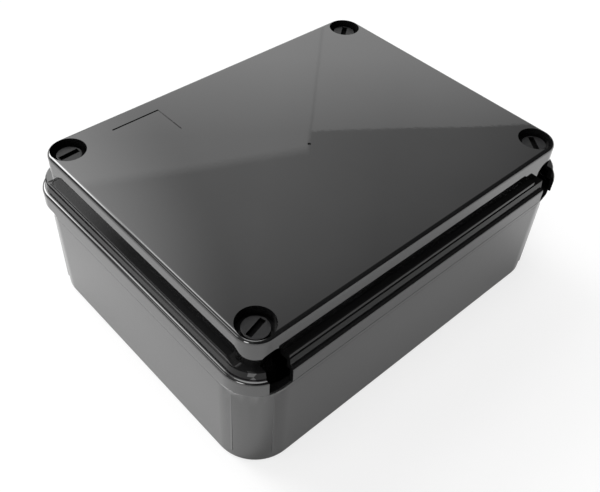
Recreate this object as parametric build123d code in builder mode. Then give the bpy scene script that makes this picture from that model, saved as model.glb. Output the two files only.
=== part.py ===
"""Adaptable box: a moulded enclosure with a screw-down lid, a seal and four lid screws.

Frame: X along the long side, Y along the short side, Z up. The origin is in the middle of the
flat underside. The side with the two hinge notches faces -Y. Millimetres throughout.
"""

import os
from math import radians, sqrt, tan

from build123d import *

# Overall size, measured over the lid's rim
length = 220.0
width = 172.0
height = 86.0
lid_corner_radius = 18.0

# Base tub
base_inset = 1.2
base_corner_radius = 21.5
base_wall = 2.6
base_floor = 3.0
base_draft = 0.5
base_bottom_chamfer = 1.4
parting_gap = 0.3
lip_land = 0.8
lip_flare = 3.5
corner_well_floor = 6.0

# Lid shell
lid_height = 28.5
lid_wall = 2.4
lid_top_thickness = 2.5
band_wall = 1.9
band_height = 8.7
band_edge_radius = 1.7
band_foot_chamfer = 0.4
flange_inset = 1.8
flange_height = 4.8
flange_slope = 7.0
flange_edge_chamfer = 0.5
flange_thickness = 2.2
plateau_inset = 6.0
plateau_corner_radius = 11.0
plateau_edge_radius = 2.1
ledge_width = 3.2
ledge_rise = 2.3
ledge_edge_radius = 0.7
ledge_stop_x = 30.0
ledge_stop_y = 19.0
ledge_ramp = 5.0

# Seal line: it follows the walls and turns inside the lid screws
seal_rib_width = 1.75
seal_rib_rise = 5.0
seal_screw_offset = 13.0
seal_bend_radius = 6.0
seal_bend_cut = 3.5
channel_side_gap = 0.3
channel_wall = 1.8
channel_foot_rise = 3.5
gasket_gap = 0.1

# Lid screws
screw_inset_x = 16.3
screw_inset_y = 16.3
well_radius = 8.8
well_depth = 6.0
well_wall = 1.8
well_floor = 2.0
post_half = 5.0
post_foot_gap = 0.05
head_radius = 6.1
head_thickness = 3.0
slot_length = 10.4
slot_width = 2.9
slot_depth = 2.2
shank_radius = 1.65
shank_grip = 12.0
shank_clearance = 0.3
pillar_half = 6.2
pillar_rise = 2.5
pillar_hole_spare = 2.4
pillar_web = 2.0
pillar_web_drop = 7.0
screw_turns = {"front_left": 15.0, "back_left": 3.2, "front_right": 53.3, "back_right": 38.0}

# Hinge notches in the lid's front side
notch_inset = 17.0
notch_half_width = 5.8
notch_well_gap = 0.2
notch_post_gap = 0.3

# Marks on the lid's top
recess_length = 27.6
recess_width = 20.5
recess_depth = 0.4
recess_inset_x = 35.0
recess_inset_y = 10.0
gate_radius = 0.9
gate_depth = 0.6

# Wall fixing holes in the floor
fixing_inset_x = 35.0
fixing_inset_y = 36.0
fixing_hole_radius = 2.75

# How far a cut runs past the face that it opens, and how near two points count as one
cut_past = 1.0
same_place = 0.01

# Values that follow from the sizes above
half_x = length / 2
half_y = width / 2
parting_height = height - lid_height
screw_x = half_x - screw_inset_x
screw_y = half_y - screw_inset_y
rim_top = parting_height + band_height
flange_top = rim_top + flange_height
ledge_top = flange_top + ledge_rise
flange_under = flange_top - flange_thickness
ledge_under = ledge_top - flange_thickness
band_under = rim_top - band_wall
top_under = height - lid_top_thickness
base_top = parting_height - parting_gap
base_half_x = half_x - base_inset
base_half_y = half_y - base_inset
base_inner_x = base_half_x - base_wall
base_inner_y = base_half_y - base_wall
seal_x = base_inner_x + seal_rib_width / 2
seal_y = base_inner_y + seal_rib_width / 2
seal_turn_x = screw_x - seal_screw_offset
seal_turn_y = screw_y - seal_screw_offset
seal_rib_height = parting_height + seal_rib_rise
channel_foot = parting_height + channel_foot_rise
channel_in = -seal_rib_width / 2 - channel_side_gap
channel_out = seal_rib_width / 2 + channel_side_gap
channel_top = band_under
well_bottom = height - well_depth
head_top = well_bottom + head_thickness
pillar_height = parting_height + pillar_rise
post_foot = pillar_height + post_foot_gap
shank_length = well_bottom - pillar_height + shank_grip
shank_hole_radius = shank_radius + shank_clearance
ledge_end_x = half_x - ledge_stop_x
ledge_end_y = half_y - ledge_stop_y
notch_x = half_x - notch_inset
notch_crown = well_bottom - well_floor - notch_well_gap
notch_depth = screw_inset_y - post_half - notch_post_gap
recess_x = half_x - plateau_inset - recess_inset_x - recess_length / 2
recess_y = half_y - plateau_inset - recess_inset_y - recess_width / 2
fixing_spacing_x = length - 2 * fixing_inset_x
fixing_spacing_y = width - 2 * fixing_inset_y
corners = {
    "front_left": (-1, -1),
    "front_right": (1, -1),
    "back_left": (-1, 1),
    "back_right": (1, 1),
}
screw_points = {name: (sx * screw_x, sy * screw_y) for name, (sx, sy) in corners.items()}


def plate_outline(inset, corner_radius):
    """Rounded outline of the lid or base, set in from the lid's rim; drawn in the open sketch."""
    RectangleRounded(length - 2 * inset, width - 2 * inset, corner_radius)


def seal_outline(grow, mode=Mode.ADD):
    """Area inside the seal line, grown by a distance: straight along the walls, round the screws."""
    bend_cut = seal_bend_cut + grow * (2 - sqrt(2))
    with BuildSketch(mode=Mode.PRIVATE) as area:
        Rectangle(2 * (seal_x + grow), 2 * (seal_y + grow))
        with Locations(*[(sx * (seal_x + grow), sy * (seal_y + grow)) for sx, sy in corners.values()]):
            Rectangle(2 * (seal_x - seal_turn_x), 2 * (seal_y - seal_turn_y), mode=Mode.SUBTRACT)
        by_distance = area.vertices().sort_by_distance((0, 0, 0))
        fillet(by_distance[:4], seal_bend_radius - grow)
        chamfer([v for v in area.vertices() if is_wall_bend(v, grow)], bend_cut)
    add(area.sketch, mode=mode)


def is_wall_bend(vertex, grow):
    """True for the eight points where the grown seal line leaves a wall."""
    on_end = abs(abs(vertex.X) - (seal_x + grow)) < same_place
    on_side = abs(abs(vertex.Y) - (seal_y + grow)) < same_place
    return on_end or on_side


def seal_ring(inner, outer):
    """Band along the seal line between two distances from it."""
    seal_outline(outer)
    seal_outline(inner, mode=Mode.SUBTRACT)


def build_base():
    """Tub with rim, sealing wall, screw pillars and fixing holes."""
    draft_shift = base_top * tan(radians(base_draft))
    flare_foot = base_top - lip_land - lip_flare
    with BuildPart() as base:
        with BuildSketch(Plane.XY):
            plate_outline(base_inset + draft_shift, base_corner_radius - draft_shift)
        extrude(amount=base_top, taper=-base_draft)
        chamfer(base.faces().sort_by(Axis.Z)[0].edges(), base_bottom_chamfer)

        # Lip that keeps the lid's tighter corner radius, flared out of the tub's rounder corners
        lip_radius = lid_corner_radius - base_inset
        with BuildSketch(Plane.XY.offset(flare_foot)):
            plate_outline(base_inset + lip_flare * tan(radians(base_draft)), base_corner_radius)
        with BuildSketch(Plane.XY.offset(base_top - lip_land)):
            plate_outline(base_inset, lip_radius)
        loft()
        with BuildSketch(Plane.XY.offset(base_top - lip_land)):
            plate_outline(base_inset, lip_radius)
        extrude(amount=lip_land)

        # Sealing wall above the lip
        with BuildSketch(Plane.XY.offset(base_top - lip_flare)):
            seal_outline(seal_rib_width / 2)
        extrude(amount=seal_rib_height - base_top + lip_flare)

        # Sealed interior
        with BuildSketch(Plane.XY.offset(base_floor)):
            seal_outline(-seal_rib_width / 2)
        extrude(amount=seal_rib_height, mode=Mode.SUBTRACT)

        # Corner wells outside the seal, with the screw pillars left standing in them
        with BuildSketch(Plane.XY.offset(corner_well_floor)):
            plate_outline(base_inset + base_wall, base_corner_radius - base_wall)
            seal_outline(seal_rib_width / 2, mode=Mode.SUBTRACT)
        extrude(amount=base_top, mode=Mode.SUBTRACT)
        with BuildSketch(Plane.XY.offset(corner_well_floor)):
            with Locations(*screw_points.values()):
                Rectangle(2 * pillar_half, 2 * pillar_half)
        extrude(amount=pillar_height - corner_well_floor)
        web_reach_x = base_inner_x - screw_x + base_wall / 2
        web_reach_y = base_inner_y - screw_y + base_wall / 2
        with BuildSketch(Plane.XY.offset(corner_well_floor)):
            for sx, sy in corners.values():
                with Locations((sx * (screw_x + web_reach_x / 2), sy * screw_y)):
                    Rectangle(web_reach_x, pillar_web)
                with Locations((sx * screw_x, sy * (screw_y + web_reach_y / 2))):
                    Rectangle(pillar_web, web_reach_y)
        extrude(amount=base_top - pillar_web_drop - corner_well_floor)

        # Holes
        with BuildSketch(Plane.XY):
            with GridLocations(fixing_spacing_x, fixing_spacing_y, 2, 2):
                Circle(fixing_hole_radius)
        extrude(amount=base_floor + cut_past, mode=Mode.SUBTRACT)
        with BuildSketch(Plane.XY.offset(pillar_height)):
            with Locations(*screw_points.values()):
                Circle(shank_hole_radius)
        extrude(amount=-shank_grip - pillar_hole_spare, mode=Mode.SUBTRACT)
    base.part.label = "base"
    return base.part


def build_lid_cavity():
    """The space inside the lid, less the gasket channel, the wells and the screw posts."""
    with BuildPart() as cavity:
        with BuildSketch(Plane.XY.offset(parting_height - cut_past)):
            plate_outline(band_wall, lid_corner_radius - band_wall)
        extrude(amount=band_under - parting_height + cut_past)
        flange_wall_inset = flange_inset + flange_thickness
        with BuildSketch(Plane.XY.offset(parting_height)):
            plate_outline(flange_wall_inset, lid_corner_radius - flange_wall_inset)
        extrude(amount=flange_under - parting_height)
        shell_inset = plateau_inset + lid_wall
        with BuildSketch(Plane.XY.offset(parting_height)):
            plate_outline(shell_inset, plateau_corner_radius - lid_wall)
        extrude(amount=top_under - parting_height)

        # The ledge is hollow too
        hollow_reach = ledge_width - flange_thickness
        with BuildSketch(Plane.XY.offset(flange_under)):
            Rectangle(2 * (ledge_end_x - flange_thickness), width - 2 * (plateau_inset - hollow_reach))
            Rectangle(length - 2 * (plateau_inset - hollow_reach), 2 * (ledge_end_y - flange_thickness))
        extrude(amount=ledge_under - flange_under)

        # Walls of the gasket channel
        with BuildSketch(Plane.XY.offset(channel_foot)):
            seal_ring(channel_in - channel_wall, channel_out + channel_wall)
        extrude(amount=channel_top + channel_wall - channel_foot, mode=Mode.SUBTRACT)
        with BuildSketch(Plane.XY.offset(channel_foot)):
            seal_ring(channel_in - channel_wall, channel_in)
        extrude(amount=height - channel_foot, mode=Mode.SUBTRACT)
        with BuildSketch(Plane.XY.offset(channel_foot)):
            seal_ring(channel_in, channel_out)
        extrude(amount=channel_top - channel_foot)

        # Screw wells and posts
        with BuildSketch(Plane.XY.offset(well_bottom - well_floor)):
            with Locations(*screw_points.values()):
                Circle(well_radius + well_wall)
        extrude(amount=well_depth, mode=Mode.SUBTRACT)
        with BuildSketch(Plane.XY.offset(post_foot)):
            with Locations(*screw_points.values()):
                Rectangle(2 * post_half, 2 * post_half)
        extrude(amount=well_bottom - post_foot, mode=Mode.SUBTRACT)
    return cavity.part


def build_ledge():
    """Raised ledge beside the skirt, stopped short of the corners."""
    ledge_inset = plateau_inset - ledge_width
    foot = flange_top - flange_thickness / 2
    with BuildPart() as ledge:
        with BuildSketch(Plane.XY.offset(foot)):
            plate_outline(ledge_inset, plateau_corner_radius + ledge_width)
        extrude(amount=ledge_top - foot)
        fillet(ledge.faces().sort_by(Axis.Z)[-1].edges(), ledge_edge_radius)

        # At each corner it is cut square on the long side and slopes down on the short side
        for name, (sx, sy) in corners.items():
            end_x = notch_x - notch_half_width if name == "front_left" else ledge_end_x
            with BuildSketch(Plane.YZ.offset(sx * end_x)):
                with BuildLine():
                    Polyline(
                        (sy * ledge_end_y, ledge_top + cut_past),
                        (sy * ledge_end_y, ledge_top),
                        (sy * (ledge_end_y + ledge_ramp), flange_top),
                        (sy * (ledge_end_y + ledge_ramp), foot),
                        (sy * half_y, foot),
                        (sy * half_y, ledge_top + cut_past),
                        close=True,
                    )
                make_face()
            extrude(amount=sx * (half_x - end_x), mode=Mode.SUBTRACT)
    return ledge.part


def build_lid(cavity, ledge):
    """Lid: rim and flange around a raised top, with wells, hinge notches and top marks."""
    with BuildPart() as lid:
        with BuildSketch(Plane.XY.offset(parting_height)):
            plate_outline(0, lid_corner_radius)
        extrude(amount=band_height)
        fillet(lid.faces().sort_by(Axis.Z)[-1].edges(), band_edge_radius)
        chamfer(lid.faces().sort_by(Axis.Z)[0].edges(), band_foot_chamfer)

        with BuildSketch(Plane.XY.offset(rim_top)):
            plate_outline(flange_inset, lid_corner_radius - flange_inset)
        extrude(amount=flange_height, taper=flange_slope)
        chamfer(lid.faces().sort_by(Axis.Z)[-1].edges(), flange_edge_chamfer)

        with BuildSketch(Plane.XY.offset(rim_top)):
            plate_outline(plateau_inset, plateau_corner_radius)
        extrude(amount=height - rim_top)
        fillet(lid.faces().sort_by(Axis.Z)[-1].edges(), plateau_edge_radius)
        add(ledge)
        add(cavity, mode=Mode.SUBTRACT)

        # Screw wells, and the shank holes through their floors
        with BuildSketch(Plane.XY.offset(well_bottom)):
            with Locations(*screw_points.values()):
                Circle(well_radius)
        extrude(amount=well_depth, mode=Mode.SUBTRACT)
        with BuildSketch(Plane.XY.offset(post_foot)):
            with Locations(*screw_points.values()):
                Circle(shank_hole_radius)
        extrude(amount=well_bottom - post_foot, mode=Mode.SUBTRACT)

        # Arched hinge notches, open at the foot, through rim, flange and skirt
        arch_height = notch_crown - notch_half_width
        notch_foot = parting_height - cut_past
        with BuildSketch(Plane.XZ.offset(half_y)):
            with Locations(*[(sx * notch_x, (arch_height + notch_foot) / 2) for sx in (-1, 1)]):
                Rectangle(2 * notch_half_width, arch_height - notch_foot)
            with Locations((-notch_x, arch_height), (notch_x, arch_height)):
                Circle(notch_half_width)
        extrude(amount=-notch_depth, mode=Mode.SUBTRACT)

        # Bare label recess and the gate's dimple
        with BuildSketch(Plane.XY.offset(height)):
            with Locations((-recess_x, recess_y)):
                Rectangle(recess_length, recess_width)
        extrude(amount=-recess_depth, mode=Mode.SUBTRACT)
        with BuildSketch(Plane.XY.offset(height)):
            Circle(gate_radius)
        extrude(amount=-gate_depth, mode=Mode.SUBTRACT)
    lid.part.label = "lid"
    return lid.part


def build_gasket():
    """Soft cord in the lid's channel, just above the base's sealing wall."""
    with BuildPart() as gasket:
        with BuildSketch(Plane.XY.offset(seal_rib_height + gasket_gap)):
            seal_ring(channel_in + gasket_gap, channel_out - gasket_gap)
        extrude(amount=channel_top - seal_rib_height - gasket_gap)
    gasket.part.label = "lid_gasket"
    return gasket.part


def build_screw(name):
    """Slotted lid screw, turned as it was left."""
    with BuildPart() as screw:
        with BuildSketch(Plane.XY.offset(well_bottom)):
            with Locations(screw_points[name]):
                Circle(head_radius)
        extrude(amount=head_thickness)
        with BuildSketch(Plane.XY.offset(well_bottom)):
            with Locations(screw_points[name]):
                Circle(shank_radius)
        extrude(amount=-shank_length)
        with BuildSketch(Plane.XY.offset(head_top)):
            with Locations(screw_points[name]):
                Rectangle(slot_length, slot_width, rotation=screw_turns[name])
        extrude(amount=-slot_depth, mode=Mode.SUBTRACT)
    screw.part.label = "lid_screw_" + name
    return screw.part


os.makedirs("parts", exist_ok=True)
pieces = [build_base(), build_lid(build_lid_cavity(), build_ledge()), build_gasket()]
pieces += [build_screw(name) for name in corners]
for piece in pieces:
    export_step(piece, "parts/" + piece.label + ".step")
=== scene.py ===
"""Adaptable box: glossy black moulded base and lid, corner screws and seal, on a plain pale floor."""

from math import cos, radians, sin

import bmesh
import bpy
from mathutils import Matrix, Vector


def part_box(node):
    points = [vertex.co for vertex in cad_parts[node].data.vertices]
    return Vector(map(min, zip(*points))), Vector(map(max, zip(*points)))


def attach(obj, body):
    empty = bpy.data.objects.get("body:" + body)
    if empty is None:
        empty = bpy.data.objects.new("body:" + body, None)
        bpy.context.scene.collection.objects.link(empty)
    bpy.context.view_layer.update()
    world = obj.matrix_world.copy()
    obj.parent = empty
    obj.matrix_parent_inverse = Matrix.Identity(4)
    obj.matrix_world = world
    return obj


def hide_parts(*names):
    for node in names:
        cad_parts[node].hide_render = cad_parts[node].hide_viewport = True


bl_info = {
    "name": "Adaptable box",
    "version": (1, 0, 0),
    "blender": (4, 5, 0),
    "location": "3D View > Sidebar > Box",
    "description": "Dresses the box's base, lid, screws and seal, and sets its stage",
    "category": "Object",
}

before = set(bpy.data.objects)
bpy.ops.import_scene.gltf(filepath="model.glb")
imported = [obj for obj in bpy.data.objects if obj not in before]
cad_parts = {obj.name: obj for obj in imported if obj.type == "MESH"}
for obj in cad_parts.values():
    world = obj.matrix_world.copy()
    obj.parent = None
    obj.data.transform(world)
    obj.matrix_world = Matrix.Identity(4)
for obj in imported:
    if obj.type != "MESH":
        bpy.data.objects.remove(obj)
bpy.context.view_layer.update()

MM = 0.001
CORNERS = ("front_left", "front_right", "back_left", "back_right")

# Levels and half sizes of the lid and the base
LID_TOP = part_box("lid")[1].z
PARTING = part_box("lid")[0].z
RIM_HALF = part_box("lid")[1].to_2d()
BASE_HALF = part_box("base")[1].to_2d()
PLATEAU_HALF = (104.0 * MM, 80.0 * MM)
BAND_LEVELS = (PARTING + 8.72 * MM, PARTING + 15.82 * MM)
# Edges of the painted shade: FOOT_LINE tops it on the lid's rim foot, JOINT_FOOT ends it on the base's wall
# under the rim
FOOT_LINE = PARTING + 0.4 * MM
JOINT_FOOT = PARTING - 2.4 * MM

# Screw wells, and the insides of the slots in the screws' heads, below their tops, where shade is painted
WELL_RADIUS = 8.8 * MM
WELL_BASE = LID_TOP - 9.0 * MM
MOUTH_DEPTH = 4.0 * MM
MOUTH_STRIP = 0.55 * MM
SLOT_DEPTH = 2.3 * MM
SLOT_LIP = 0.1 * MM
SLOT_REACH = 5.3 * MM

# Hinge notches, whose faces are painted with shade
NOTCH_X = 93.0 * MM
NOTCH_HALF_WIDTH = 5.9 * MM
NOTCH_INNER_Y = -75.0 * MM
NOTCH_TOP = PARTING + 14.5 * MM

# How near counts as touching, how deep a piece's side reaches, and how far its normal may point up or down
NEAR = 0.05 * MM
SIDE_DEPTH = 8.0 * MM
UPRIGHT = 0.9

# How near corners are welded and how near one counts as on a cut's level, in metres
WELD = 0.005 * MM
ON_LEVEL = 1e-7

# In degrees: the angle under which triangles are one face, and the least angles of the edges to round
FLAT_ANGLE = 0.4
SHARP_ANGLE = 28
BASE_SHARP_ANGLE = 34

# How strongly large faces set the shading, from 1 to 100
FLAT_WEIGHT = 80

# How much rougher the gloss is at its handling marks
MARKS_ROUGHNESS = 0.024

# Ends of the edge of the lit wall's paler part, in its right and left runs and at the jog between them.
# Each end is a bearing from +X and a height above the floor, in degrees.
WALL_RIGHT = ((27.69, 34.29), (43.97, 36.87))
WALL_LEFT = ((44.75, 38.36), (55.50, 39.75))
WALL_JOG = ((44.20, 36.45), (44.35, 38.63))

# Where these edges and the fades beside them start and end, as the sine of the angle from their plane
RIGHT_BLUR = (-0.0005, 0.0015)
LEFT_BLUR = (-0.004, 0.008)
JOG_BLUR = (0.0, 0.006)
WALL_FADE = (0.0, 0.09)
LEFT_FADE = (-0.1, 0.05)

# Shares of the low wall's brightness in the step and in the fade, and the extra light to the left of the jog
STEP_SHARE = 0.42
FADE_SHARE = 0.45
LEFT_LIFT = 0.2

# Patches of light in the room, in degrees: bearing, height, and how far from the middle each is full and gone
LOW_WALL_PATCH = (44, 26, 12, 40)
WALL_PATCH = (47, 31, 8, 27)
GLOW_PATCH = (91, 46, 0, 27)
WINDOW_PATCH = (105, 29, 12, 19)
WINDOW_TOP_PATCH = (98, 56, 4, 9)
SIDE_PATCH = (148, 28, 5, 13)
CORNER_PATCH = (196, 14, 6, 12)
OVERHEAD_PATCH = (200, 80, 14, 26)

# Size given to the floor's grid, in metres
FLOOR_SIZE = 20.0

# Camera, as fitted to the photograph
CAMERA_PLACE = (-0.2207, -0.2162, 0.3253)
CAMERA_FORWARD = (0.5014, 0.4943, -0.7101)
CAMERA_RIGHT = (0.7021, -0.7121, 0.0)


class BoxFinish(bpy.types.PropertyGroup):
    """Colours and surface sizes of the box's pieces"""

    plastic_colour: bpy.props.FloatVectorProperty(
        name="Plastic colour", description="Colour of the moulded base and lid", subtype="COLOR",
        size=3, min=0.0, max=1.0, default=(0.006, 0.006, 0.0062))
    plastic_roughness: bpy.props.FloatProperty(
        name="Plastic roughness", description="Roughness of the moulded gloss",
        subtype="FACTOR", min=0.0, max=1.0, default=0.008)
    screw_colour: bpy.props.FloatVectorProperty(
        name="Screw colour", description="Colour of the lid screws", subtype="COLOR",
        size=3, min=0.0, max=1.0, default=(0.010, 0.010, 0.0105))
    seal_colour: bpy.props.FloatVectorProperty(
        name="Seal colour", description="Colour of the seal strip", subtype="COLOR",
        size=3, min=0.0, max=1.0, default=(0.05, 0.05, 0.052))
    edge_round: bpy.props.FloatProperty(
        name="Edge round", description="Radius left on the mouldings' sharp edges",
        subtype="DISTANCE", unit="LENGTH", min=0.0, max=0.001, default=0.0003)
    mouth_round: bpy.props.FloatProperty(
        name="Mouth round", description="Radius on the mouths of the screw wells",
        subtype="DISTANCE", unit="LENGTH", min=0.0, max=0.001, default=0.0005)
    head_round: bpy.props.FloatProperty(
        name="Head round", description="Radius on the screws' heads and slots",
        subtype="DISTANCE", unit="LENGTH", min=0.0, max=0.001, default=0.00045)
    foot_round: bpy.props.FloatProperty(
        name="Foot round", description="Radius on the base's edges",
        subtype="DISTANCE", unit="LENGTH", min=0.0, max=0.001, default=0.0006)


class BoxStage(bpy.types.PropertyGroup):
    """Floor, light and camera"""

    lens: bpy.props.FloatProperty(
        name="Lens", description="Focal length for a 36 mm sensor", subtype="DISTANCE_CAMERA",
        min=10.0, max=200.0, default=46.81)
    roll: bpy.props.FloatProperty(
        name="Roll", description="Turn of the camera about its own axis", subtype="ANGLE",
        unit="ROTATION", default=radians(4.10))
    floor_colour: bpy.props.FloatVectorProperty(
        name="Floor colour", description="Colour of the pale floor", subtype="COLOR",
        size=3, min=0.0, max=1.0, default=(0.93, 0.93, 0.93))
    floor_lift: bpy.props.FloatProperty(
        name="Floor lift", description="How far the seen floor is drawn to pure white",
        subtype="FACTOR", min=0.0, max=1.0, default=0.75)
    mirror_lift: bpy.props.FloatProperty(
        name="Mirrored floor lift", description="How far the floor that the gloss shows is drawn to white",
        subtype="FACTOR", min=0.0, max=1.0, default=0.12)
    window: bpy.props.FloatProperty(
        name="Window", description="Brightness of the window at the back left",
        min=0.0, default=9.0)
    window_top: bpy.props.FloatProperty(
        name="Window top", description="Brightness of the window's upper part",
        min=0.0, default=5.0)
    glow: bpy.props.FloatProperty(
        name="Glow", description="Brightness of the soft light around the window",
        min=0.0, default=2.7)
    side_light: bpy.props.FloatProperty(
        name="Side light", description="Brightness of the opening at the far left",
        min=0.0, default=2.2)
    corner_light: bpy.props.FloatProperty(
        name="Corner light", description="Brightness of the small light low at the front left",
        min=0.0, default=8.0)
    overhead: bpy.props.FloatProperty(
        name="Overhead", description="Brightness of the soft light above the box",
        min=0.0, default=3.0)
    wall: bpy.props.FloatProperty(
        name="Wall", description="Brightness of the lit wall behind the box",
        min=0.0, default=0.56)
    low_wall: bpy.props.FloatProperty(
        name="Low wall", description="Extra brightness of the wall's paler lower part",
        min=0.0, default=0.9)
    dark: bpy.props.FloatProperty(
        name="Dark side", description="Brightness of the rest of the room",
        min=0.0, default=0.05)


def socket(node, name):
    """Input of a shader node by its name."""
    return node.inputs[name]


def new_material(name):
    """Empty node material with its output."""
    material = bpy.data.materials.new(name)
    material.use_nodes = True
    material.node_tree.nodes.clear()
    output = material.node_tree.nodes.new("ShaderNodeOutputMaterial")
    return material, material.node_tree.nodes, material.node_tree.links, output


def noise(nodes, links, coordinates, scale, detail=3.0, roughness=0.5):
    """Noise texture on the object's own coordinates."""
    texture = nodes.new("ShaderNodeTexNoise")
    socket(texture, "Scale").default_value = scale
    socket(texture, "Detail").default_value = detail
    socket(texture, "Roughness").default_value = roughness
    links.new(coordinates.outputs["Object"], socket(texture, "Vector"))
    return texture


def spread(nodes, links, value, low, high, from_low=0.0, from_high=1.0):
    """Value mapped from one range to another."""
    mapped = nodes.new("ShaderNodeMapRange")
    socket(mapped, "From Min").default_value = from_low
    socket(mapped, "From Max").default_value = from_high
    socket(mapped, "To Min").default_value = low
    socket(mapped, "To Max").default_value = high
    links.new(value, socket(mapped, "Value"))
    return mapped


def bump(nodes, links, height, distance, strength, below=None):
    """Bump layer, on top of another one if it is given."""
    layer = nodes.new("ShaderNodeBump")
    socket(layer, "Distance").default_value = distance
    socket(layer, "Strength").default_value = strength
    links.new(height, socket(layer, "Height"))
    if below is not None:
        links.new(below.outputs["Normal"], socket(layer, "Normal"))
    return layer


def tinted(nodes, links, shader, colour, fac, low, high, from_low, from_high):
    """Gives a shader a colour that a texture makes a little darker or lighter."""
    tint = spread(nodes, links, fac, low, high, from_low, from_high)
    scaled = nodes.new("ShaderNodeVectorMath")
    scaled.operation = "SCALE"
    scaled.inputs[0].default_value = colour
    links.new(tint.outputs["Result"], socket(scaled, "Scale"))
    links.new(scaled.outputs["Vector"], socket(shader, "Base Color"))


def moulded_gloss(finish):
    """Black gloss plastic: faint sink waves and cloudy handling marks."""
    material, nodes, links, output = new_material("moulded_black_gloss")
    shader = nodes.new("ShaderNodeBsdfPrincipled")
    socket(shader, "IOR").default_value = 1.5
    socket(shader, "Specular IOR Level").default_value = 1.0
    coordinates = nodes.new("ShaderNodeTexCoord")
    clouds = noise(nodes, links, coordinates, 26.0, 4.0, 0.6)
    marks = noise(nodes, links, coordinates, 420.0, 2.0, 0.5)
    rough = spread(nodes, links, clouds.outputs["Fac"], finish.plastic_roughness,
                   finish.plastic_roughness + MARKS_ROUGHNESS, 0.38, 0.72)
    links.new(rough.outputs["Result"], socket(shader, "Roughness"))
    tinted(nodes, links, shader, finish.plastic_colour, clouds.outputs["Fac"], 0.9, 1.25, 0.35, 0.7)
    waves = noise(nodes, links, coordinates, 14.0, 1.0, 0.4)
    sink = bump(nodes, links, waves.outputs["Fac"], 0.0006, 0.12)
    grain = bump(nodes, links, marks.outputs["Fac"], 0.00002, 0.10, sink)
    links.new(grain.outputs["Normal"], socket(shader, "Normal"))
    links.new(shader.outputs["BSDF"], socket(output, "Surface"))
    return material


def band_satin(finish):
    """The same black plastic with a satin skin, for the lid's step and the walls of its wells."""
    material, nodes, links, output = new_material("moulded_black_satin")
    shader = nodes.new("ShaderNodeBsdfPrincipled")
    socket(shader, "IOR").default_value = 1.5
    socket(shader, "Specular IOR Level").default_value = 0.16
    socket(shader, "Base Color").default_value = (*finish.plastic_colour, 1.0)
    coordinates = nodes.new("ShaderNodeTexCoord")
    grain = noise(nodes, links, coordinates, 700.0, 3.0, 0.6)
    rough = spread(nodes, links, grain.outputs["Fac"], 0.08, 0.13, 0.3, 0.7)
    links.new(rough.outputs["Result"], socket(shader, "Roughness"))
    skin = bump(nodes, links, grain.outputs["Fac"], 0.00002, 0.12)
    links.new(skin.outputs["Normal"], socket(shader, "Normal"))
    links.new(shader.outputs["BSDF"], socket(output, "Surface"))
    return material


def painted_gap_shade(finish):
    """Painted shade: a matt black, mottled between 0.3 and 0.8 of the plastic's colour, for the joint under
    the lid's rim, the rim's foot, the hinge notches and the screws' slots, where shade falls.
    """
    material, nodes, links, output = new_material("painted_gap_shade")
    shader = nodes.new("ShaderNodeBsdfPrincipled")
    socket(shader, "Specular IOR Level").default_value = 0.05
    coordinates = nodes.new("ShaderNodeTexCoord")
    # Painted shade: this noise mottles how dark the painted shade is
    shade_mottle = noise(nodes, links, coordinates, 600.0, 2.0, 0.5)
    tinted(nodes, links, shader, finish.plastic_colour, shade_mottle.outputs["Fac"], 0.3, 0.8, 0.3, 0.7)
    socket(shader, "Roughness").default_value = 0.6
    links.new(shader.outputs["BSDF"], socket(output, "Surface"))
    return material


def screw_plastic(finish):
    """Black satin plastic of the lid screws, with a speckled grain."""
    material, nodes, links, output = new_material("screw_black_satin")
    shader = nodes.new("ShaderNodeBsdfPrincipled")
    socket(shader, "IOR").default_value = 1.5
    socket(shader, "Specular IOR Level").default_value = 0.26
    socket(shader, "Base Color").default_value = (*finish.screw_colour, 1.0)
    coordinates = nodes.new("ShaderNodeTexCoord")
    speckle = noise(nodes, links, coordinates, 1500.0, 3.0, 0.6)
    rough = spread(nodes, links, speckle.outputs["Fac"], 0.30, 0.55, 0.3, 0.7)
    links.new(rough.outputs["Result"], socket(shader, "Roughness"))
    grain = bump(nodes, links, speckle.outputs["Fac"], 0.0002, 0.35)
    links.new(grain.outputs["Normal"], socket(shader, "Normal"))
    links.new(shader.outputs["BSDF"], socket(output, "Surface"))
    return material


def seal_rubber(finish):
    """Soft dark seal strip with a matt foam skin."""
    material, nodes, links, output = new_material("seal_foam_rubber")
    shader = nodes.new("ShaderNodeBsdfPrincipled")
    coordinates = nodes.new("ShaderNodeTexCoord")
    pores = noise(nodes, links, coordinates, 900.0, 4.0, 0.7)
    tinted(nodes, links, shader, finish.seal_colour, pores.outputs["Fac"], 0.7, 1.3, 0.3, 0.7)
    socket(shader, "Roughness").default_value = 0.8
    skin = bump(nodes, links, pores.outputs["Fac"], 0.0002, 0.5)
    links.new(skin.outputs["Normal"], socket(shader, "Normal"))
    links.new(shader.outputs["BSDF"], socket(output, "Surface"))
    return material


def named_material(name, maker, finish):
    """The material of that name, made once."""
    return bpy.data.materials.get(name) or maker(finish)


def whole_faces(node, join=True):
    """A CAD node's triangles in a bmesh, welded, and joined into whole flat faces if asked."""
    shape = bmesh.new()
    shape.from_mesh(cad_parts[node].data)
    for layer in list(shape.loops.layers.float_vector.values()):
        shape.loops.layers.float_vector.remove(layer)
    bmesh.ops.remove_doubles(shape, verts=shape.verts, dist=WELD)
    if join:
        bmesh.ops.dissolve_limit(
            shape, angle_limit=radians(FLAT_ANGLE), use_dissolve_boundaries=False, verts=shape.verts,
            edges=shape.edges)
    return shape


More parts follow.
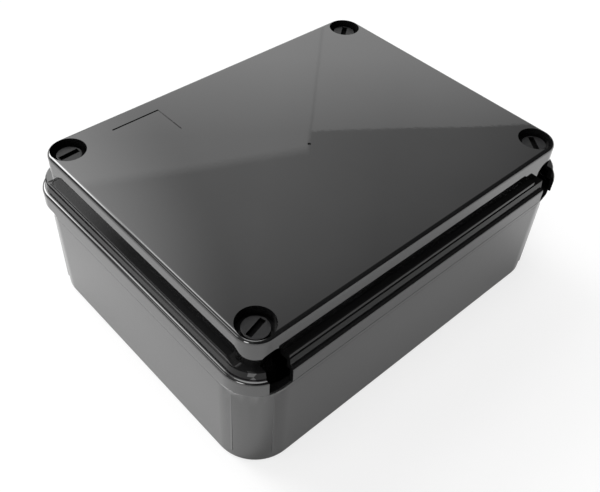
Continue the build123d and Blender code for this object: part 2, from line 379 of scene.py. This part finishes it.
def finish_piece(shape, name, material, body, slot, *nodes):
    """Makes a bmesh a finished piece that rides on a body and stands for its CAD nodes."""
    mesh = bpy.data.meshes.new(name)
    shape.to_mesh(mesh)
    shape.free()
    if "custom_normal" in mesh.attributes:
        mesh.attributes.remove(mesh.attributes["custom_normal"])
    mesh.materials.clear()
    mesh.materials.append(material)
    mesh.polygons.foreach_set("material_index", [0] * len(mesh.polygons))
    mesh.shade_smooth()
    piece = bpy.data.objects.new(name, mesh)
    bpy.context.collection.objects.link(piece)
    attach(piece, body)
    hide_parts(*nodes)
    return piece


def round_edges(piece, width, segments=2, sharpest=SHARP_ANGLE):
    """Rounds what is left sharp, and keeps flat faces flat in the shading."""
    bevel = piece.modifiers.new("edge round", "BEVEL")
    bevel.width = width
    bevel.segments = segments
    bevel.limit_method = "ANGLE"
    bevel.angle_limit = radians(sharpest)
    bevel.use_clamp_overlap = True
    weighted = piece.modifiers.new("flat faces", "WEIGHTED_NORMAL")
    weighted.keep_sharp = False
    weighted.weight = FLAT_WEIGHT


def cut_level(shape, level):
    """Cuts a bmesh's faces along a level, so that each side of it can have its own finish or painted shade.
    """
    bmesh.ops.bisect_plane(
        shape, geom=list(shape.verts) + list(shape.edges) + list(shape.faces), dist=ON_LEVEL,
        plane_co=(0, 0, level), plane_no=(0, 0, 1))


def screw_places():
    """Middles of the four lid screws, seen from above."""
    boxes = [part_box("lid_screw_" + corner) for corner in CORNERS]
    return [((low + high) / 2).to_2d() for low, high in boxes]


def near_side(point, half):
    """Whether a point is near a side of a piece with those half sizes."""
    return max(abs(point.x) - half[0], abs(point.y) - half[1]) > -SIDE_DEPTH


def round_mouths(shape, finish):
    """Rounds the mouths of the lid's four screw wells in a bmesh."""
    places = screw_places()
    mouths = []
    for edge in shape.edges:
        near = [min((point.co.to_2d() - place).length for place in places) for point in edge.verts]
        level = min(point.co.z for point in edge.verts)
        if max(abs(n - WELL_RADIUS) for n in near) < NEAR and level > LID_TOP - MOUTH_DEPTH:
            if edge.calc_face_angle(0.0) > radians(SHARP_ANGLE):
                mouths.append(edge)
    bmesh.ops.bevel(
        shape, geom=mouths, offset=finish.mouth_round, segments=3, profile=0.5, affect="EDGES",
        clamp_overlap=True, material=-1)


def mark_band(piece, material):
    """Gives the lid's step, between its rim and its top, a finish of its own."""
    piece.data.materials.append(material)
    for face in piece.data.polygons:
        middle = face.center
        outside = abs(middle.x) > PLATEAU_HALF[0] + NEAR or abs(middle.y) > PLATEAU_HALF[1] + NEAR
        if outside and BAND_LEVELS[0] < middle.z < BAND_LEVELS[1]:
            face.material_index = 1


def mark_wells_and_paint_shade(piece, satin, shade_material):
    """Gives the wells' walls the satin finish, and paints shade, as matt black, on the hinge notches and the
    rim's foot.
    """
    piece.data.materials.append(satin)
    piece.data.materials.append(shade_material)
    places = screw_places()
    for face in piece.data.polygons:
        middle = face.center
        near = min((middle.to_2d() - place).length for place in places)
        notch = abs(abs(middle.x) - NOTCH_X) < NOTCH_HALF_WIDTH and middle.y < NOTCH_INNER_Y
        if near < WELL_RADIUS + NEAR and WELL_BASE < middle.z < LID_TOP - MOUTH_STRIP:
            face.material_index = 2
        elif notch and middle.z < NOTCH_TOP:
            face.material_index = 3
        elif middle.z < FOOT_LINE and near_side(middle, RIM_HALF):
            face.material_index = 3


def paint_joint_shade(piece, material):
    """Paints shade, as matt black, on the base's wall under the lid's rim, where the rim's overhang shades
    it.
    """
    piece.data.materials.append(material)
    for face in piece.data.polygons:
        upright = abs(face.normal.z) < UPRIGHT
        if upright and face.center.z > JOINT_FOOT and near_side(face.center, BASE_HALF):
            face.material_index = 1


def paint_slot_shade(piece, material):
    """Paints shade, as matt black, inside a screw's slot."""
    piece.data.materials.append(material)
    points = [vertex.co for vertex in piece.data.vertices]
    top = max(point.z for point in points)
    middle = sum(points, Vector()) / len(points)
    for face in piece.data.polygons:
        reach = (face.center.to_2d() - middle.to_2d()).length
        if top - SLOT_DEPTH < face.center.z < top - SLOT_LIP and reach < SLOT_REACH:
            face.material_index = 1


class BOXMODEL_OT_base(bpy.types.Operator):
    """Dress the base tub"""

    bl_idname = "boxmodel.base"
    bl_label = "Base"

    def execute(self, context):
        finish = context.scene.box_finish
        material = named_material("moulded_black_gloss", moulded_gloss, finish)
        shape = whole_faces("base")
        # Cut at the foot of the painted shade under the lid's rim
        cut_level(shape, JOINT_FOOT)
        piece = finish_piece(shape, "base_moulding", material, "base", "black_gloss_plastic", "base")
        # Paint shade, as matt black, on the base's wall under the lid's rim
        paint_joint_shade(piece, named_material("painted_gap_shade", painted_gap_shade, finish))
        round_edges(piece, finish.foot_round, 3, BASE_SHARP_ANGLE)
        return {"FINISHED"}


class BOXMODEL_OT_lid(bpy.types.Operator):
    """Dress the lid"""

    bl_idname = "boxmodel.lid"
    bl_label = "Lid"

    def execute(self, context):
        finish = context.scene.box_finish
        material = named_material("moulded_black_gloss", moulded_gloss, finish)
        shape = whole_faces("lid")
        # Cut where the painted shade on the rim's foot stops
        cut_level(shape, FOOT_LINE)
        round_mouths(shape, finish)
        piece = finish_piece(shape, "lid_moulding", material, "lid", "black_gloss_plastic", "lid")
        satin = named_material("moulded_black_satin", band_satin, finish)
        mark_band(piece, satin)
        # Paint shade, as matt black, on the hinge notches and the rim's foot
        mark_wells_and_paint_shade(piece, satin, named_material("painted_gap_shade", painted_gap_shade, finish))
        round_edges(piece, finish.edge_round)
        return {"FINISHED"}


class BOXMODEL_OT_screws(bpy.types.Operator):
    """Dress the four lid screws"""

    bl_idname = "boxmodel.screws"
    bl_label = "Lid screws"

    def execute(self, context):
        finish = context.scene.box_finish
        material = named_material("screw_black_satin", screw_plastic, finish)
        for corner in CORNERS:
            piece = finish_piece(whole_faces("lid_screw_" + corner, False), "screw_" + corner, material,
                                 "screw_" + corner, "black_satin_plastic", "lid_screw_" + corner)
            # Paint shade, as matt black, inside the slot
            paint_slot_shade(piece, named_material("painted_gap_shade", painted_gap_shade, finish))
            round_edges(piece, finish.head_round, 3)
        return {"FINISHED"}


class BOXMODEL_OT_seal(bpy.types.Operator):
    """Dress the seal strip"""

    bl_idname = "boxmodel.seal"
    bl_label = "Seal"

    def execute(self, context):
        finish = context.scene.box_finish
        material = named_material("seal_foam_rubber", seal_rubber, finish)
        piece = finish_piece(whole_faces("lid_gasket"), "seal_strip", material, "lid",
                             "seal_rubber", "lid_gasket")
        round_edges(piece, finish.edge_round)
        return {"FINISHED"}


def direction(azimuth, elevation):
    """Unit vector towards a bearing, counter-clockwise from +X, and a height, both in degrees."""
    flat = cos(radians(elevation))
    return Vector((flat * cos(radians(azimuth)), flat * sin(radians(azimuth)), sin(radians(elevation))))


def lobe(nodes, links, view, azimuth, elevation, inner, outer, strength):
    """Soft-edged bright patch of the room, between two angles from its middle."""
    dot = nodes.new("ShaderNodeVectorMath")
    dot.operation = "DOT_PRODUCT"
    dot.inputs[1].default_value = direction(azimuth, elevation)
    links.new(view, dot.inputs[0])
    patch = spread(nodes, links, dot.outputs["Value"], 0.0, strength, cos(radians(outer)),
                   cos(radians(inner)))
    patch.interpolation_type = "SMOOTHSTEP"
    return patch.outputs["Result"]


def side(nodes, links, view, first, second):
    """How far a view lies to the lower side of the plane through two directions, or to its left."""
    reach = nodes.new("ShaderNodeVectorMath")
    reach.operation = "DOT_PRODUCT"
    reach.inputs[1].default_value = -direction(*first).cross(direction(*second)).normalized()
    links.new(view, reach.inputs[0])
    return reach.outputs["Value"]


def combined(nodes, links, operation, first, second):
    """Two values put together by a Math node's operation."""
    maths = nodes.new("ShaderNodeMath")
    maths.operation = operation
    links.new(first, maths.inputs[0])
    links.new(second, maths.inputs[1])
    return maths.outputs["Value"]


def added(nodes, links, *values):
    """Sum of several values."""
    total = values[0]
    for value in values[1:]:
        total = combined(nodes, links, "ADD", total, value)
    return total


def wall_light(nodes, links, view, stage):
    """The wall's paler part, up to an edge with a jog in it, and the light added left of the jog."""
    right = side(nodes, links, view, *WALL_RIGHT)
    left = side(nodes, links, view, *WALL_LEFT)
    jog = side(nodes, links, view, *WALL_JOG)
    left_part = combined(nodes, links, "MINIMUM",
                         spread(nodes, links, jog, 0.0, 1.0, *JOG_BLUR).outputs["Result"],
                         spread(nodes, links, left, 0.0, 1.0, *LEFT_BLUR).outputs["Result"])
    right_part = combined(nodes, links, "MINIMUM",
                          spread(nodes, links, jog, 1.0, 0.0, *JOG_BLUR).outputs["Result"],
                          spread(nodes, links, right, 0.0, 1.0, *RIGHT_BLUR).outputs["Result"])
    edge = combined(nodes, links, "MAXIMUM", left_part, right_part)
    step = spread(nodes, links, edge, 0.0, STEP_SHARE)
    fade = spread(nodes, links, right, 0.0, FADE_SHARE, *WALL_FADE)
    shares = added(nodes, links, step.outputs["Result"], fade.outputs["Result"])
    patch = lobe(nodes, links, view, *LOW_WALL_PATCH, stage.low_wall)
    low = combined(nodes, links, "MULTIPLY", shares, patch)
    paler = spread(nodes, links, jog, 0.0, LEFT_LIFT, *LEFT_FADE)
    return low, paler.outputs["Result"]


def room_light(stage):
    """World: a dim room with a window at the back left, a pale wall behind and light from above."""
    world = bpy.data.worlds.new("room")
    bpy.context.scene.world = world
    world.use_nodes = True
    nodes, links = world.node_tree.nodes, world.node_tree.links
    nodes.clear()
    coordinates = nodes.new("ShaderNodeTexCoord")
    view = coordinates.outputs["Generated"]
    base = nodes.new("ShaderNodeValue")
    base.outputs["Value"].default_value = stage.dark
    total = added(
        nodes, links, base.outputs["Value"], *wall_light(nodes, links, view, stage),
        lobe(nodes, links, view, *WALL_PATCH, stage.wall),
        lobe(nodes, links, view, *GLOW_PATCH, stage.glow),
        lobe(nodes, links, view, *WINDOW_PATCH, stage.window),
        lobe(nodes, links, view, *WINDOW_TOP_PATCH, stage.window_top),
        lobe(nodes, links, view, *SIDE_PATCH, stage.side_light),
        lobe(nodes, links, view, *CORNER_PATCH, stage.corner_light),
        lobe(nodes, links, view, *OVERHEAD_PATCH, stage.overhead))
    room = nodes.new("ShaderNodeBackground")
    socket(room, "Color").default_value = (1.0, 1.0, 1.0, 1.0)
    links.new(total, socket(room, "Strength"))
    output = nodes.new("ShaderNodeOutputWorld")
    links.new(room.outputs["Background"], socket(output, "Surface"))


def floor_material(stage):
    """Pale matt floor, drawn towards white where it is seen, with the object's shadow kept."""
    material, nodes, links, output = new_material("pale_floor")
    matt = nodes.new("ShaderNodeBsdfDiffuse")
    socket(matt, "Color").default_value = (*stage.floor_colour, 1.0)
    white = nodes.new("ShaderNodeEmission")
    path = nodes.new("ShaderNodeLightPath")
    shiny = added(nodes, links, path.outputs["Is Glossy Ray"], path.outputs["Is Transmission Ray"])
    direct = spread(nodes, links, path.outputs["Is Camera Ray"], 0.0, stage.floor_lift)
    mirrored = spread(nodes, links, shiny, 0.0, stage.mirror_lift)
    lift = added(nodes, links, direct.outputs["Result"], mirrored.outputs["Result"])
    mix = nodes.new("ShaderNodeMixShader")
    links.new(lift, socket(mix, "Fac"))
    links.new(matt.outputs["BSDF"], mix.inputs[1])
    links.new(white.outputs["Emission"], mix.inputs[2])
    links.new(mix.outputs["Shader"], socket(output, "Surface"))
    return material


class BOXMODEL_OT_stage(bpy.types.Operator):
    """Set the floor, the light and the camera"""

    bl_idname = "boxmodel.stage"
    bl_label = "Stage"

    def execute(self, context):
        scene = context.scene
        stage = scene.box_stage
        scene.view_settings.view_transform = "Standard"

        shape = bmesh.new()
        bmesh.ops.create_grid(shape, x_segments=1, y_segments=1, size=FLOOR_SIZE)
        mesh = bpy.data.meshes.new("floor")
        shape.to_mesh(mesh)
        shape.free()
        mesh.materials.append(floor_material(stage))
        floor = bpy.data.objects.new("floor", mesh)
        scene.collection.objects.link(floor)

        room_light(stage)

        forward = Vector(CAMERA_FORWARD).normalized()
        level = Vector(CAMERA_RIGHT).normalized()
        over = level.cross(forward)
        right = (cos(stage.roll) * level + sin(stage.roll) * over).normalized()
        up = right.cross(forward)
        lens = bpy.data.cameras.new("camera")
        lens.sensor_width = 36.0
        lens.sensor_fit = "HORIZONTAL"
        lens.lens = stage.lens
        lens.clip_start = 0.01
        camera = bpy.data.objects.new("camera", lens)
        turn = Matrix((right, up, -forward)).transposed().to_4x4()
        camera.matrix_world = Matrix.Translation(CAMERA_PLACE) @ turn
        scene.collection.objects.link(camera)
        scene.camera = camera
        return {"FINISHED"}


class BOXMODEL_PT_panel(bpy.types.Panel):
    """Steps and sizes of the box"""

    bl_label = "Adaptable box"
    bl_idname = "BOXMODEL_PT_panel"
    bl_space_type = "VIEW_3D"
    bl_region_type = "UI"
    bl_category = "Box"

    def draw(self, context):
        layout = self.layout
        for step in STEPS:
            layout.operator(step.bl_idname)
        for group in (context.scene.box_finish, context.scene.box_stage):
            for name in group.bl_rna.properties.keys():
                if name not in ("rna_type", "name"):
                    layout.prop(group, name)


STEPS = (BOXMODEL_OT_base, BOXMODEL_OT_lid, BOXMODEL_OT_screws, BOXMODEL_OT_seal, BOXMODEL_OT_stage)
CLASSES = (BoxFinish, BoxStage, *STEPS, BOXMODEL_PT_panel)


def register():
    for item in CLASSES:
        bpy.utils.register_class(item)
    bpy.types.Scene.box_finish = bpy.props.PointerProperty(type=BoxFinish)
    bpy.types.Scene.box_stage = bpy.props.PointerProperty(type=BoxStage)


def unregister():
    del bpy.types.Scene.box_stage
    del bpy.types.Scene.box_finish
    for item in reversed(CLASSES):
        bpy.utils.unregister_class(item)


def main():
    """Builds every piece and the stage in turn."""
    register()
    bpy.ops.boxmodel.base()
    bpy.ops.boxmodel.lid()
    bpy.ops.boxmodel.screws()
    bpy.ops.boxmodel.seal()
    bpy.ops.boxmodel.stage()


if __name__ == "__main__":
    main()
